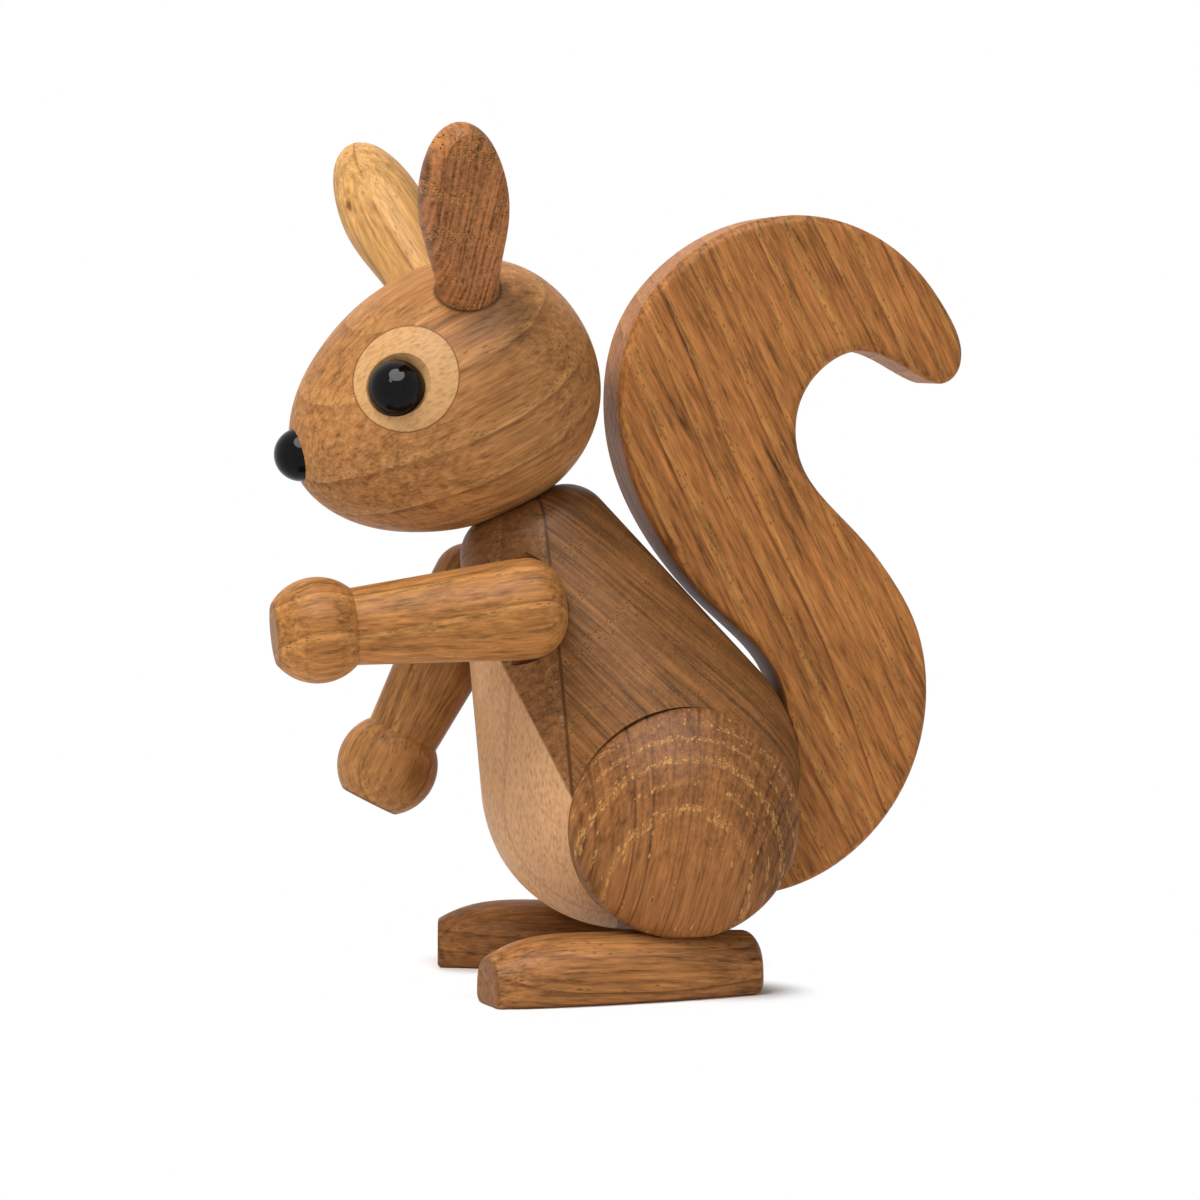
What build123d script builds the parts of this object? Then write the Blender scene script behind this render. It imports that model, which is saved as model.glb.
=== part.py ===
from build123d import *
import os
from math import cos, radians, sin, sqrt, tan

os.makedirs("parts", exist_ok=True)

# A turned wooden squirrel that stands on its two feet. Lengths are in millimetres and angles in degrees.
# +Z is up, the squirrel looks along -Y and its left side is +X. The floor is at Z = 0.

# Fits that all the pieces share
glue_gap = 0.03
pivot_clearance = 0.06
dowel_end_room = 0.5
overrun = 40.0

# Body, turned like a pear about an axis that leans forward
belly_radius = 23.7
belly_flattening = 2.05
belly_over_thigh = 4.5
belly_back = 4.8
body_lean = 24.2
body_taper = 18.8
body_top_rise = 45.0
body_top_round = 6.5
body_bottom_flat = 0.3

# Glue joints of the body: a maple belly in front, then an oak chest wedge, then the oak back
belly_joint_front = 13.05
chest_joint_front = 14.15
chest_joint_lean = 3.4

# Neck dowel, glued in the body, on which the head turns
neck_dowel_radius = 3.0
neck_dowel_in_body = 14.0
neck_dowel_in_head = 12.0

# Head, an egg turned about an axis that runs from the nose up to the back
head_radius = 18.8
head_back_length = 23.2
head_nose_length = 24.2
head_seat_depth = 0.75
head_forward = 4.0
head_dip = 2.3
head_turn = 6.0
head_roll = 2.2
head_back_shares = [(0.860, 0.592), (0.520, 0.921)]
head_nose_shares = [(0.250, 0.940), (0.500, 0.812), (0.830, 0.502)]

# Eyes: an inlaid maple disc with a black bead set off its middle
eye_disc_radius = 7.8
eye_disc_depth = 5.0
eye_skin_inset = 1.8
eye_forward = 7.4
eye_swing = 63.3
eye_tilt = 15.0
eye_bead_radius = 4.1
eye_bead_sink = 0.9
eye_off_front = 1.9
eye_off_down = 0.5
eye_well_radius = 5.0
eye_well_depth = 1.4
eye_stem_radius = 1.25
eye_stem_length = 10.0

# Nose, a black bead on a stem
nose_radius = 3.9
nose_inset = 1.6
nose_above = 2.7
nose_lift = 8.0
nose_stem_radius = 1.5
nose_stem_length = 11.0

# Ears, turned spindles with one flat face, glued in drilled holes
ear_length = 29.7
ear_tip_length = 14.5
ear_tip_shares = [(0.940, 0.342), (0.766, 0.643), (0.500, 0.866)]
ear_radius = 6.45
ear_neck_radius = 4.5
ear_peg_depth = 6.0
ear_flat_rise = 2.0
ear_flat_slope = 6.0
ear_skin_inset = 0.9
ear_back = 7.4
ear_splay = 39.0
ear_lean_back = 8.0

# Arms, turned pegs with a ball hand, on one cross dowel through the chest
shoulder_joint_wall = 1.08
shoulder_drop = 11.91
shoulder_inset = 6.7
arm_inset = 6.0
shoulder_seat_radius = 8.4
shoulder_dowel_radius = 2.5
shoulder_dowel_in_arm = 8.0
arm_shoulder_radius = 7.2
arm_shoulder_end = 7.4
arm_shoulder_round = 5.2
arm_wrist_radius = 5.5
arm_flat_length = 18.0
hand_at = 28.3
hand_radius = 7.55
hand_flat_at = 34.5
hand_edge_round = 0.8
left_arm_drop = 5.1
right_arm_drop = 62.5

# Thighs, domed discs let into the sides of the body
thigh_radius = 16.8
thigh_behind = 2.3
thigh_flat = 0.5
thigh_let_in = 10.7
thigh_edge_inset = 3.2
thigh_bulge = 3.8
thigh_round = 2.5
hip_dowel_radius = 3.0
hip_dowel_in_thigh = 8.0
hip_dowel_in_body = 8.0

# Feet, boat shaped with a rounded back, a sawn toe end and a shallow seat for the thigh
foot_length = 41.1
foot_width = 14.0
foot_height = 8.9
foot_crown = 0.6
foot_splay = 10.0
foot_outset = 1.25
foot_lead = 9.0
foot_trim = 1.0
foot_room = 0.5
foot_toe_round = 0.6
foot_heel_round = 1.8
foot_section_shares = [(0.800, 0.000), (0.945, 0.090), (1.000, 0.330), (0.820, 0.740)]
foot_station_shares = [
    (0.000, 0.640, 0.720), (0.080, 0.790, 0.890), (0.180, 0.905, 0.995), (0.330, 0.985, 1.025),
    (0.550, 1.000, 1.010), (0.800, 0.900, 0.990), (1.000, 0.740, 0.940),
]
foot_dowel_radius = 2.0
foot_dowel_in_foot = 6.0
foot_dowel_in_thigh = 9.0

# Tail, a flat board sawn to an S and rounded along its edges
tail_thickness = 13.6
tail_round = 1.4
tail_width = 51.7
tail_height = 99.5
tail_lead = 4.6
tail_drop = 16.5
tail_dowel_radius = 2.5
tail_dowel_in_body = 9.0
tail_dowel_in_tail = 7.0
lower_tail_dowel_drop = 7.2
upper_tail_dowel_rise = 5.8
tail_outline_shares = [
    (0.360, 0.030), (0.480, 0.130), (0.500, 0.245), (0.460, 0.324), (0.308, 0.409), (0.097, 0.544),
    (0.020, 0.640), (0.000, 0.728), (0.045, 0.843), (0.170, 0.928), (0.320, 0.978), (0.518, 1.000),
    (0.700, 0.981), (0.850, 0.930), (0.955, 0.860), (1.000, 0.790), (0.985, 0.766), (0.946, 0.752),
    (0.895, 0.758), (0.793, 0.787), (0.696, 0.800), (0.600, 0.778), (0.530, 0.729), (0.514, 0.680),
    (0.540, 0.624), (0.600, 0.581), (0.710, 0.522), (0.800, 0.461), (0.863, 0.402), (0.901, 0.298),
    (0.845, 0.164), (0.656, 0.046), (0.451, 0.000),
]

left = 1
right = -1
sides = {"left": left, "right": right}
from_below = (Align.CENTER, Align.CENTER, Align.MIN)
from_above = (Align.CENTER, Align.CENTER, Align.MAX)

# Sizes that follow from those above
belly_depth = belly_radius - belly_flattening
thigh_height = foot_height + thigh_radius - thigh_flat
thigh_back = belly_back + thigh_behind
thigh_inner = belly_radius - thigh_let_in
thigh_edge = belly_radius - thigh_edge_inset
thigh_reach = belly_radius + thigh_bulge
belly_height = thigh_height + belly_over_thigh
foot_side = (thigh_inner + thigh_edge) / 2 + foot_outset
head_rise = head_radius - head_seat_depth
eye_skin_radius = head_radius - eye_skin_inset
ear_skin_radius = head_radius - ear_skin_inset
nose_along = head_nose_length - nose_inset
shoulder_side = belly_radius - shoulder_inset
shoulder_seat = shoulder_side - arm_inset
tail_front = belly_back - tail_lead
tail_foot = belly_height - tail_drop
tail_dowel_heights = [belly_height - lower_tail_dowel_drop, belly_height + upper_tail_dowel_rise]

# Places that several pieces share
body_place = Location((0, belly_back, belly_height), (body_lean, 0, 0))
neck_place = body_place * Location((0, 0, body_top_rise), (0, 0, head_turn))
head_place = neck_place * Location((0, -head_forward, head_rise), (head_dip, head_roll, 0))
nose_place = head_place * Location((0, -nose_along, nose_above), (90 - nose_lift, 0, 0))
shoulder_forward = belly_joint_front - shoulder_dowel_radius - shoulder_joint_wall
shoulder_middle = (body_place * Location((0, -shoulder_forward, body_top_rise - shoulder_drop))).position
shoulder_place = Location(shoulder_middle, (0, 90, 0))


def eye_place(side):
    """Middle of an eye disc on the head's skin, with Z pointing out of the head."""
    swung = Location((0, -eye_forward, 0), (0, side * eye_swing, 0))
    return head_place * swung * Location((0, 0, eye_skin_radius), (eye_tilt, 0, 0))


def bead_place(side):
    """Middle of an eye bead, off the middle of its disc towards the nose and the floor."""
    return eye_place(side) * Location((side * eye_off_down, -eye_off_front, -eye_bead_sink))


def ear_place(side):
    """Where an ear's axis leaves the head's skin, with Z running to the ear's tip."""
    swung = Location((0, ear_back, 0), (0, side * ear_splay, 0))
    return head_place * swung * Location((0, 0, ear_skin_radius), (-ear_lean_back, 0, 0))


def arm_place(side):
    """Shoulder end of an arm, with Z running to the hand."""
    drop = left_arm_drop if side == left else right_arm_drop
    return Location((side * shoulder_side, shoulder_middle.Y, shoulder_middle.Z), (90 + drop, 0, 0))


def seat_place(side):
    """Middle of the flat on which a shoulder turns, with Z pointing out of the body."""
    return Location((side * shoulder_seat, shoulder_middle.Y, shoulder_middle.Z), (0, side * 90, 0))


def thigh_place(side):
    """Middle of a thigh's inner face, with Z pointing out of the body."""
    return Location((side * thigh_inner, thigh_back, thigh_height), (0, side * 90, 0))


def foot_place(side):
    """Middle of a foot's sole, with -Y running to its toes."""
    return Location((side * foot_side, thigh_back - foot_lead, 0), (0, 0, side * foot_splay))


def foot_dowel_place(side):
    """Middle of the joint between a foot and its thigh, with Z up."""
    return Location((side * (thigh_inner + thigh_edge) / 2, thigh_back, foot_height))


def tail_dowel_place(height):
    """Where a tail dowel leaves the body's back, with Z running into the tail."""
    skin = sqrt(belly_radius**2 - (height - belly_height) ** 2)
    return Location((0, belly_back + skin, height), (-90, 0, 0))


def turning_plane(place):
    """Plane for a half outline: X runs out from the turning axis and Y along it."""
    return Plane(place * Location((0, 0, 0), (90, 0, 0)))


def turning_axis(place):
    """Axis along a place's Z."""
    return Axis(place.position, Plane(place).z_dir)


def turned_body(grow):
    """The whole pear as one turned solid, larger all round by grow."""
    ball = belly_radius + grow
    bottom = belly_depth + grow
    top = body_top_rise + grow
    cone_radius = ball * cos(radians(body_taper))
    cone_start = ball * sin(radians(body_taper))
    top_radius = cone_radius - (top - cone_start) * tan(radians(body_taper))
    with BuildPart() as pear:
        with BuildSketch(turning_plane(body_place * Location((0, 0, 0), (0, 0, -90)))) as half:
            with BuildLine():
                EllipticalCenterArc((0, 0), ball, bottom, start_angle=270, arc_size=90)
                CenterArc((0, 0), ball, 0, body_taper)
                Line((cone_radius, cone_start), (top_radius, top))
                Polyline((top_radius, top), (0, top), (0, -bottom))
            make_face()
            rim = half.vertices().group_by(Axis.Y)[-1].sort_by(Axis.X)[-1]
            fillet(rim, body_top_round)
        revolve(axis=turning_axis(body_place))
        split(bisect_by=Plane(body_place * Location((0, 0, body_bottom_flat - bottom))), keep=Keep.TOP)
    return pear.part


def cut_body_joinery():
    """Sockets for the limbs, the tail and the head, in the part of the body that is being made."""
    with Locations(thigh_place(left), thigh_place(right)):
        Cylinder(thigh_radius + glue_gap, overrun, align=from_below, mode=Mode.SUBTRACT)
        Cylinder(
            hip_dowel_radius + glue_gap,
            hip_dowel_in_body + dowel_end_room,
            align=from_above,
            mode=Mode.SUBTRACT,
        )
    with Locations(neck_place):
        Cylinder(
            neck_dowel_radius + glue_gap,
            neck_dowel_in_body + dowel_end_room,
            align=from_above,
            mode=Mode.SUBTRACT,
        )
    with Locations(shoulder_place):
        Cylinder(shoulder_dowel_radius + glue_gap, 2 * overrun, mode=Mode.SUBTRACT)
    with Locations(seat_place(left), seat_place(right)):
        Cylinder(shoulder_seat_radius, overrun, align=from_below, mode=Mode.SUBTRACT)
    with Locations([tail_dowel_place(height) for height in tail_dowel_heights]):
        Cylinder(
            tail_dowel_radius + glue_gap,
            2 * (tail_dowel_in_body + dowel_end_room),
            mode=Mode.SUBTRACT,
        )


# Body in three glued blocks
pear_blank = turned_body(0)
belly_joint = Plane(body_place * Location((0, -belly_joint_front, 0), (90, 0, 0)))
chest_joint = Plane(
    Location((0, belly_back - chest_joint_front, belly_height), (90 + chest_joint_lean, 0, 0))
)

with BuildPart() as belly:
    add(pear_blank)
    split(bisect_by=belly_joint, keep=Keep.TOP)
    cut_body_joinery()

with BuildPart() as chest:
    add(pear_blank)
    split(bisect_by=belly_joint, keep=Keep.BOTTOM)
    split(bisect_by=chest_joint, keep=Keep.TOP)
    cut_body_joinery()

with BuildPart() as back:
    add(pear_blank)
    split(bisect_by=belly_joint, keep=Keep.BOTTOM)
    split(bisect_by=chest_joint, keep=Keep.BOTTOM)
    cut_body_joinery()


def dowel(place, radius, below, above):
    """A plain wooden dowel along a place's Z, from below that place to above it."""
    with BuildPart() as pin:
        with Locations(place * Location((0, 0, -below))):
            Cylinder(radius, below + above, align=from_below)
    return pin.part


# Head, with its sockets and the small flat that turns on the body's top
with BuildPart() as egg:
    with BuildSketch(Plane(head_place)):
        with BuildLine():
            back_points = [(r * head_radius, t * head_back_length) for t, r in head_back_shares]
            nose_points = [(r * head_radius, -t * head_nose_length) for t, r in head_nose_shares]
            Spline(
                (0, head_back_length),
                *back_points,
                (head_radius, 0),
                *nose_points,
                (0, -head_nose_length),
                tangents=[(1, 0), (-1, 0)],
                tangent_scalars=[1, 1],
            )
            Line((0, -head_nose_length), (0, head_back_length))
        make_face()
    revolve(axis=Axis(head_place.position, Plane(head_place).y_dir))

with BuildPart() as head:
    add(egg.part)
    split(bisect_by=Plane(neck_place), keep=Keep.TOP)
    with Locations(neck_place):
        Cylinder(
            neck_dowel_radius + pivot_clearance,
            neck_dowel_in_head + dowel_end_room,
            align=from_below,
            mode=Mode.SUBTRACT,
        )
    for side in sides.values():
        with Locations(eye_place(side) * Location((0, 0, -eye_disc_depth))):
            Cylinder(eye_disc_radius + glue_gap, overrun, align=from_below, mode=Mode.SUBTRACT)
        with Locations(bead_place(side)):
            Cylinder(
                eye_stem_radius + glue_gap,
                eye_stem_length + dowel_end_room,
                align=from_above,
                mode=Mode.SUBTRACT,
            )
        with Locations(ear_place(side) * Location((0, 0, -ear_peg_depth))):
            Cylinder(ear_neck_radius + glue_gap, overrun, align=from_below, mode=Mode.SUBTRACT)
    with Locations(nose_place):
        Sphere(nose_radius + glue_gap, mode=Mode.SUBTRACT)
        Cylinder(
            nose_stem_radius + glue_gap,
            nose_stem_length + dowel_end_room,
            align=from_above,
            mode=Mode.SUBTRACT,
        )


def eye_disc(side):
    """Maple disc, flush with the head's skin, with a countersunk seat for its bead."""
    with BuildPart() as disc:
        with Locations(eye_place(side) * Location((0, 0, -eye_disc_depth))):
            Cylinder(eye_disc_radius, overrun, align=from_below)
        add(egg.part, mode=Mode.INTERSECT)
        with Locations(bead_place(side)):
            Sphere(eye_bead_radius + glue_gap, mode=Mode.SUBTRACT)
            Cylinder(eye_stem_radius + glue_gap, eye_stem_length, align=from_above, mode=Mode.SUBTRACT)
        with Locations(bead_place(side) * Location((0, 0, eye_bead_sink - eye_well_depth))):
            Cone(
                eye_well_radius - eye_well_depth,
                eye_well_radius + eye_well_depth,
                2 * eye_well_depth,
                align=from_below,
                mode=Mode.SUBTRACT,
            )
    return disc.part


def bead(place, radius, stem_radius, stem_length):
    """Black bead with a stem that is glued in the wood."""
    with BuildPart() as ball:
        with Locations(place):
            Sphere(radius)
            Cylinder(stem_radius, stem_length, align=from_above)
    return ball.part


def ear(side):
    """Turned ear with a round peg below, a wide blade, a round tip and a flat outer face above the peg."""
    widest = ear_length - ear_tip_length
    with BuildPart() as blade:
        with BuildSketch(turning_plane(ear_place(side))):
            with BuildLine():
                Polyline(
                    (0, ear_length),
                    (0, -ear_peg_depth),
                    (ear_neck_radius, -ear_peg_depth),
                    (ear_neck_radius, 0),
                )
                tip_points = [(r * ear_radius, widest + t * ear_tip_length) for r, t in ear_tip_shares]
                Spline(
                    (ear_neck_radius, 0),
                    (ear_radius, widest),
                    *tip_points,
                    (0, ear_length),
                    tangents=[(0, 1), (-1, 0)],
                    tangent_scalars=[1, 1],
                )
            make_face()
        revolve(axis=turning_axis(ear_place(side)))
        flat_turn = side * (90 - ear_flat_slope)
        flat_start = Location((side * ear_neck_radius, 0, ear_flat_rise), (0, flat_turn, 0))
        flat = Plane(ear_place(side) * flat_start)
        split(bisect_by=flat, keep=Keep.BOTTOM)
    return blade.part


def arm(side):
    """Turned arm with a ball hand, flat on the inside where it turns on the body."""
    wrist_at = hand_at - sqrt(hand_radius**2 - arm_wrist_radius**2)
    hand_flat_radius = sqrt(hand_radius**2 - (hand_flat_at - hand_at) ** 2)
    with BuildPart() as peg:
        with BuildSketch(turning_plane(arm_place(side))) as half:
            with BuildLine():
                Polyline(
                    (0, hand_flat_at),
                    (0, -arm_shoulder_end),
                    (arm_shoulder_radius, -arm_shoulder_end),
                    (arm_shoulder_radius, 0),
                    (arm_wrist_radius, wrist_at),
                )
                ThreePointArc(
                    (arm_wrist_radius, wrist_at),
                    (hand_radius, hand_at),
                    (hand_flat_radius, hand_flat_at),
                )
                Line((hand_flat_radius, hand_flat_at), (0, hand_flat_at))
            make_face()
            corner = half.vertices().group_by(Axis.Y)[0].sort_by(Axis.X)[-1]
            fillet(corner, arm_shoulder_round)
            edge = half.vertices().group_by(Axis.Y)[-1].sort_by(Axis.X)[-1]
            fillet(edge, hand_edge_round)
        revolve(axis=turning_axis(arm_place(side)))
        inside = side * (shoulder_seat - shoulder_side)
        with Locations(arm_place(side) * Location((inside, 0, arm_flat_length))):
            inward = Align.MAX if side == left else Align.MIN
            Box(overrun, overrun, 2 * overrun, align=(inward, Align.CENTER, Align.MAX), mode=Mode.SUBTRACT)
        with Locations(seat_place(side)):
            Cylinder(
                shoulder_dowel_radius + pivot_clearance,
                shoulder_dowel_in_arm + dowel_end_room,
                align=from_below,
                mode=Mode.SUBTRACT,
            )
    return peg.part


def thigh(side):
    """Domed thigh, flat underneath where it stands on its foot."""
    wall = thigh_edge - thigh_inner
    dome = thigh_reach - thigh_edge
    dome_radius = (thigh_radius**2 + dome**2) / (2 * dome)
    with BuildPart() as disc:
        with BuildSketch(turning_plane(thigh_place(side))) as half:
            with BuildLine():
                Polyline((0, wall + dome), (0, 0), (thigh_radius, 0), (thigh_radius, wall))
                RadiusArc((thigh_radius, wall), (0, wall + dome), -dome_radius)
            make_face()
            shoulder = half.vertices().group_by(Axis.X)[-1].sort_by(Axis.Y)[-1]
            fillet(shoulder, thigh_round)
        revolve(axis=turning_axis(thigh_place(side)))
        split(bisect_by=Plane.XY.offset(foot_height), keep=Keep.TOP)
        with Locations(thigh_place(side)):
            Cylinder(
                hip_dowel_radius + glue_gap,
                hip_dowel_in_thigh + dowel_end_room,
                align=from_below,
                mode=Mode.SUBTRACT,
            )
        with Locations(foot_dowel_place(side)):
            Cylinder(
                foot_dowel_radius + glue_gap,
                foot_dowel_in_thigh + dowel_end_room,
                align=from_below,
                mode=Mode.SUBTRACT,
            )
    return disc.part


def thigh_seat(side):
    """The room that a thigh's flat underside takes in the top of its foot."""
    with BuildPart() as seat:
        with Locations(thigh_place(side)):
            Cylinder(thigh_radius + glue_gap, overrun, align=from_below)
        split(bisect_by=Plane.XY.offset(foot_height), keep=Keep.TOP)
    return seat.part


def foot(side):
    """Boat-shaped foot with a flat sole, lofted through sections from the toe to the heel."""
    crest = foot_height + foot_crown
    with BuildPart() as boat:
        for along, wide, high in foot_station_shares:
            station = foot_place(side) * Location((0, (along - 1 / 2) * foot_length, 0), (90, 0, 0))
            outer = [(x * wide * foot_width / 2, z * high * crest) for x, z in foot_section_shares]
            inner = [(-x, z) for x, z in reversed(outer)]
            with BuildSketch(Plane(station)):
                with BuildLine():
                    Spline(*outer, (0, high * crest), *inner)
                    Polyline(inner[-1], (inner[-1][0], -foot_trim), (outer[0][0], -foot_trim), outer[0])
                make_face()
        loft()
        split(bisect_by=Plane.XY, keep=Keep.TOP)
        ends = boat.faces().filter_by(GeomType.PLANE).sort_by(Axis.Y)
        fillet(ends[0].edges(), foot_toe_round)
        ends = boat.faces().filter_by(GeomType.PLANE).sort_by(Axis.Y)
        fillet(ends[-1].edges(), foot_heel_round)
        add(thigh_seat(side), mode=Mode.SUBTRACT)
        add(turned_body(foot_room), mode=Mode.SUBTRACT)
        with Locations(foot_dowel_place(side)):
            Cylinder(
                foot_dowel_radius + glue_gap,
                foot_dowel_in_foot + dowel_end_room,
                align=from_above,
                mode=Mode.SUBTRACT,
            )
    return boat.part


def tail_point(share):
    """A point of the tail's outline, seen from the squirrel's left."""
    return (tail_front + share[0] * tail_width, tail_foot + share[1] * tail_height)


with BuildPart() as tail:
    with BuildSketch(Plane.YZ.offset(-tail_thickness / 2)):
        with BuildLine():
            outline = [tail_point(share) for share in tail_outline_shares]
            Spline(*outline)
            Line(outline[-1], outline[0])
        make_face()
    extrude(amount=tail_thickness)
    sawn_faces = tail.faces().sort_by(Axis.X)
    sawn_edges = sawn_faces[0].edges() + sawn_faces[-1].edges()
    fillet(sawn_edges.filter_by(GeomType.LINE, reverse=True), tail_round)
    add(turned_body(glue_gap), mode=Mode.SUBTRACT)
    with Locations([tail_dowel_place(height) for height in tail_dowel_heights]):
        Cylinder(
            tail_dowel_radius + glue_gap,
            2 * (tail_dowel_in_tail + dowel_end_room),
            mode=Mode.SUBTRACT,
        )

# Every piece by the name of its node
pieces = {
    "belly": belly.part,
    "chest": chest.part,
    "back": back.part,
    "head": head.part,
    "nose": bead(nose_place, nose_radius, nose_stem_radius, nose_stem_length),
    "tail": tail.part,
    "neck_dowel": dowel(neck_place, neck_dowel_radius, neck_dowel_in_body, neck_dowel_in_head),
    "shoulder_dowel": dowel(
        shoulder_place,
        shoulder_dowel_radius,
        shoulder_seat + shoulder_dowel_in_arm,
        shoulder_seat + shoulder_dowel_in_arm,
    ),
}
for name, height in zip(("lower", "upper"), tail_dowel_heights):
    pieces[name + "_tail_dowel"] = dowel(
        tail_dowel_place(height), tail_dowel_radius, tail_dowel_in_body, tail_dowel_in_tail
    )
for name, side in sides.items():
    pieces[name + "_eye_disc"] = eye_disc(side)
    pieces[name + "_eye"] = bead(bead_place(side), eye_bead_radius, eye_stem_radius, eye_stem_length)
    pieces[name + "_ear"] = ear(side)
    pieces[name + "_arm"] = arm(side)
    pieces[name + "_thigh"] = thigh(side)
    pieces[name + "_foot"] = foot(side)
    pieces[name + "_hip_dowel"] = dowel(
        thigh_place(side), hip_dowel_radius, hip_dowel_in_body, hip_dowel_in_thigh
    )
    pieces[name + "_foot_dowel"] = dowel(
        foot_dowel_place(side), foot_dowel_radius, foot_dowel_in_foot, foot_dowel_in_thigh
    )

for name, piece in pieces.items():
    piece.label = name
    export_step(piece, f"parts/{name}.step")
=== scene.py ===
from math import radians

import bpy
from mathutils import Matrix, Vector

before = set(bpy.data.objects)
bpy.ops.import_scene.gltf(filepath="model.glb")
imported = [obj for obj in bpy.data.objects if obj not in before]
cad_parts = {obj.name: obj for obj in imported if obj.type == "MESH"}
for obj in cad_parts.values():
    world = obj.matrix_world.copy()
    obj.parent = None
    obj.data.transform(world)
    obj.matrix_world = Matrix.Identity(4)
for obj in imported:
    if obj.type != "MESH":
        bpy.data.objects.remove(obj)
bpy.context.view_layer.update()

# A turned wooden squirrel, in metres. +Z is up, it looks along -Y, and its left side is +X.
MM = 0.001

# Camera, at the height of the head and a little in front of the squirrel's left side
CAMERA_PLACE = Vector((0.6303, -0.1285, 0.0938))
CAMERA_AZIMUTH = radians(78.6)
CAMERA_PITCH = radians(-3.34)
CAMERA_LENS = 131.4
CAMERA_SENSOR = 36.0

# Middle of the turned body, towards which the lamps point
BODY_MIDDLE = Vector((0.0, 0.0, 0.055))

# Oak: how many times each kind of unevenness changes in a millimetre, across the fibres, across and along
OAK_WANDER = (0.030, 0.030, 0.010)
OAK_RIPPLE = (0.22, 0.22, 0.025)
OAK_BREAK = (0.16, 0.16, 0.03)
OAK_PATCH = (0.30, 0.30, 0.06)
OAK_RAY = (0.20, 0.20, 0.045)
OAK_FIBRE = (2.8, 2.8, 0.22)
OAK_STREAK = (1.10, 1.10, 0.040)
OAK_SHADE = (0.10, 0.10, 0.035)

# Oak: sizes of its pores and rays in millimetres
PORE_WIDTH = 0.42
PORE_SWAY = 0.8
RAY_SPACING = 2.3
RAY_SWAY = 3.0
STRIPE_WIDTH = 0.50
STRIPE_LENGTH = 8.0
STRIPE_DEPTH = 14.0

# Maple: its unevenness, counted as for oak, and the sizes of its ray flecks in millimetres
MAPLE_WANDER = (0.05, 0.05, 0.02)
MAPLE_SWAY = (0.5, 0.5, 0.35)
MAPLE_FIBRE = (4.5, 4.5, 0.35)
MAPLE_SHADE = (0.08, 0.08, 0.03)
FLECK_WIDTH = 0.27
FLECK_LENGTH = 1.1
FLECK_DEPTH = 5.0
FLECK_SWAY = 0.9

# Polish of the wood and of the beads
GRAIN_DEPTH = 0.12 * MM
WOOD_IOR = 1.45
WOOD_SHEEN = 0.10
BEAD_IOR = 1.5
BEAD_SHEEN = 0.14
BEAD_DUST_PER_METRE = 900.0

# Feet on the floor, in millimetres, for the shade that the floor keeps round them
FOOT_SIDE = 18.0
FOOT_MIDDLE = -1.9
FOOT_SPLAY = radians(10)
FOOT_STRAIGHT = 16.0
FOOT_HALF_WIDTH = 5.0
FLOOR_SHADE_REACH = 10.0
FLOOR_SIZE = 6.0

# Light that the white surroundings give, next to what the camera sees of them
WORLD_FILL = 0.08

# Any direction that is used only to complete a frame round an axis
SIDEWAYS = (0.9, 0.3, 0.3)


def rgb(red, green, blue):
    """A colour that is given as 0 to 255 screen values, as a linear colour for a shader."""
    linear = []
    for value in (red, green, blue):
        share = value / 255
        linear.append(share / 12.92 if share <= 0.04045 else ((share + 0.055) / 1.055) ** 2.4)
    return (*linear, 1.0)


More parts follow.
